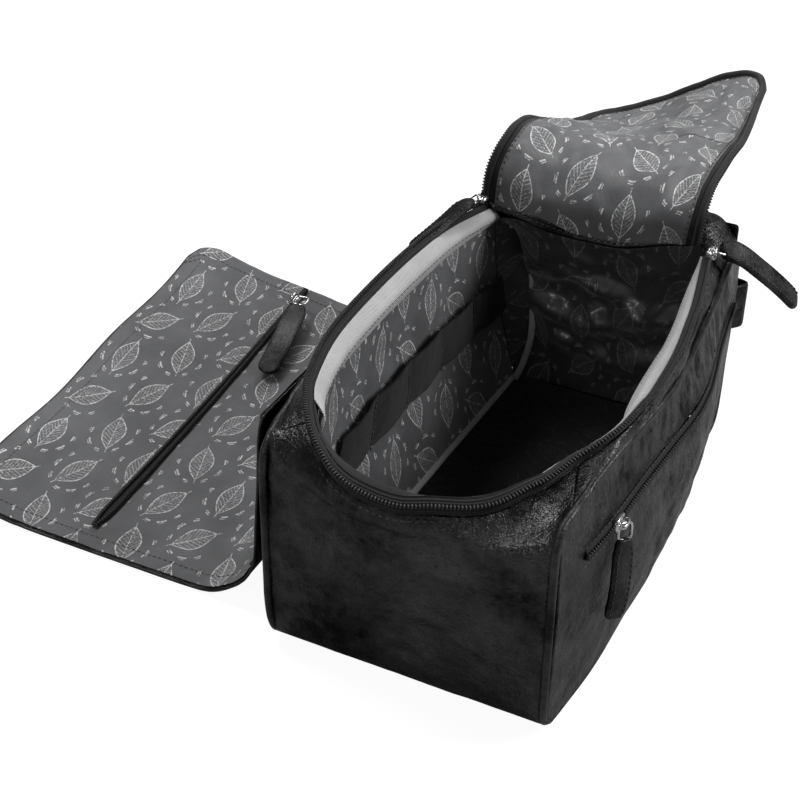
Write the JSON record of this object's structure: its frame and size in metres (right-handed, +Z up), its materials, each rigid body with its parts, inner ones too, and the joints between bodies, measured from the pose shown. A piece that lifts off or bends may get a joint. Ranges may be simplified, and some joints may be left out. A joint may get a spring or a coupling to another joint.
{
  "type": "toiletry bag",
  "caption": "Black leather box toiletry bag lying open, its zipped lid folded back and its lined top flap hanging down, with zipped pockets, elastic loops and leather zip pullers",
  "frame": {"origin": "Centre of the bag's flat base, on the floor.", "axes": "+X to the pocket side, +Y from the near end to the hinged end, +Z up."},
  "size_m": [0.3854, 0.4542, 0.169],
  "materials": {
    "leather": "semi-gloss soft leather, near black",
    "piping": "glossy leather-covered cord",
    "lining": "satin with a lighter woven motif",
    "facing": "light grey twill",
    "elastic": "ribbed elastic",
    "binding": "grosgrain",
    "zip_coil": "satin nylon",
    "board": "matt board",
    "metal": "polished zinc alloy"
  },
  "bodies": {
    "bag": {"base_panel": "leather", "base_stiffener": "board", "binding_far_left": "binding", "binding_floor_left": "binding", "carry_handle": "leather", "elastic_band_left": "elastic", "elastic_band_right": "elastic", "far_top_panel": "leather", "gusset_far": "leather", "gusset_near": "leather", "handle_patch_left": "leather", "handle_patch_right": "leather", "hinge_binding": "binding", "lining_far_upper": "lining", "lining_floor": "lining", "lining_tub": "lining", "main_chain": "zip_coil", "main_tape": "binding", "piping_left": "piping", "piping_right": "piping", "pocket_backing": "board", "pocket_end_far": "leather", "pocket_end_near": "leather", "pocket_zip_lower": "zip_coil", "pocket_zip_upper": "zip_coil", "rim_facing": "facing", "shoulder_near": "leather", "side_panel_left": "leather", "side_panel_right_lower": "leather", "side_panel_right_upper": "leather"},
    "lid_root": {"lid_leather_root": "leather", "lid_lining_root": "lining"},
    "lid_mid": {"lid_leather_mid": "leather", "lid_lining_mid": "lining", "lid_zip_mid_left": "zip_coil", "lid_zip_mid_right": "zip_coil"},
    "lid_tip": {"lid_leather_tip": "leather", "lid_lining_tip": "lining", "lid_zip_tip": "zip_coil"},
    "flap_root": {"flap_leather_root": "leather", "flap_lining_root": "lining"},
    "flap_outer": {"flap_leather_outer": "leather", "flap_lining_outer": "lining", "flap_slip_binding": "binding", "flap_welt_inner": "leather", "flap_welt_outer": "leather", "flap_zip_inner": "zip_coil", "flap_zip_outer": "zip_coil"},
    "slider_right": {"slider_right": "metal"},
    "slider_left": {"slider_left": "metal"},
    "pocket_slider": {"pocket_slider": "metal"},
    "flap_slider": {"flap_slider": "metal"},
    "puller_right": {"puller_right_ring": "metal", "puller_right_tab": "leather"},
    "puller_left": {"puller_left_ring": "metal", "puller_left_tab": "leather"},
    "pocket_puller": {"pocket_puller_ring": "metal", "pocket_puller_tab": "leather"},
    "flap_puller": {"flap_puller_ring": "metal", "flap_puller_tab": "leather"}
  },
  "joints": [
    {"name": "lid_hinge", "type": "hinge", "parent": "bag", "child": "lid_root", "pos_m": [0, 0.103, 0.1365], "axis": [1, 0, 0], "range_deg": [0, 91.5]},
    {"name": "lid_fold_mid", "type": "hinge", "parent": "lid_root", "child": "lid_mid", "pos_m": [0, 0.11119, 0.16328], "axis": [1, 0, 0], "range_deg": [0, 94.6]},
    {"name": "lid_fold_tip", "type": "hinge", "parent": "lid_mid", "child": "lid_tip", "pos_m": [0, 0.18677, 0.15533], "axis": [1, 0, 0], "range_deg": [0, 10.1]},
    {"name": "flap_hinge", "type": "hinge", "parent": "bag", "child": "flap_root", "pos_m": [-0.0815, 0, 0.123], "axis": [0, 1, 0], "range_deg": [0, 150]},
    {"name": "flap_fold", "type": "hinge", "parent": "flap_root", "child": "flap_outer", "pos_m": [-0.0866, 0, 0.0298], "axis": [0, 1, 0], "range_deg": [-75.1, 0]},
    {"name": "slider_right_slide", "type": "slide", "parent": "bag", "child": "slider_right", "axis": [0.1099, -0.9939, 0], "range_m": [0, 0.095]},
    {"name": "slider_left_slide", "type": "slide", "parent": "bag", "child": "slider_left", "axis": [-0.1012, -0.9949, 0], "range_m": [0, 0.095]},
    {"name": "pocket_slider_slide", "type": "slide", "parent": "bag", "child": "pocket_slider", "axis": [0, 1, 0], "range_m": [0, 0.105]},
    {"name": "flap_slider_slide", "type": "slide", "parent": "flap_outer", "child": "flap_slider", "axis": [0, -1, 0], "range_m": [0, 0.2]},
    {"name": "puller_right_pivot", "type": "hinge", "parent": "slider_right", "child": "puller_right", "pos_m": [0.06591, 0.0914, 0.1375], "axis": [0.1099, -0.9939, 0], "range_deg": [0, 100]},
    {"name": "puller_left_pivot", "type": "hinge", "parent": "slider_left", "child": "puller_left", "pos_m": [-0.0668, 0.09137, 0.1375], "axis": [0, 0, 1], "range_deg": [-140, 0]},
    {"name": "pocket_puller_pivot", "type": "hinge", "parent": "pocket_slider", "child": "pocket_puller", "pos_m": [0.0796, -0.078, 0.094], "axis": [0, 1, 0], "range_deg": [-110, 0]},
    {"name": "flap_puller_pivot", "type": "hinge", "parent": "flap_slider", "child": "flap_puller", "pos_m": [-0.195, 0.108, 0.0085], "axis": [1, 0, 0], "range_deg": [-140, 0]}
  ],
  "couplings": [
    {"joint": "lid_fold_mid", "follows": "lid_hinge", "ratio": 1.0328},
    {"joint": "lid_fold_tip", "follows": "lid_hinge", "ratio": 0.10929},
    {"joint": "flap_fold", "follows": "flap_hinge", "ratio": -0.5}
  ]
}
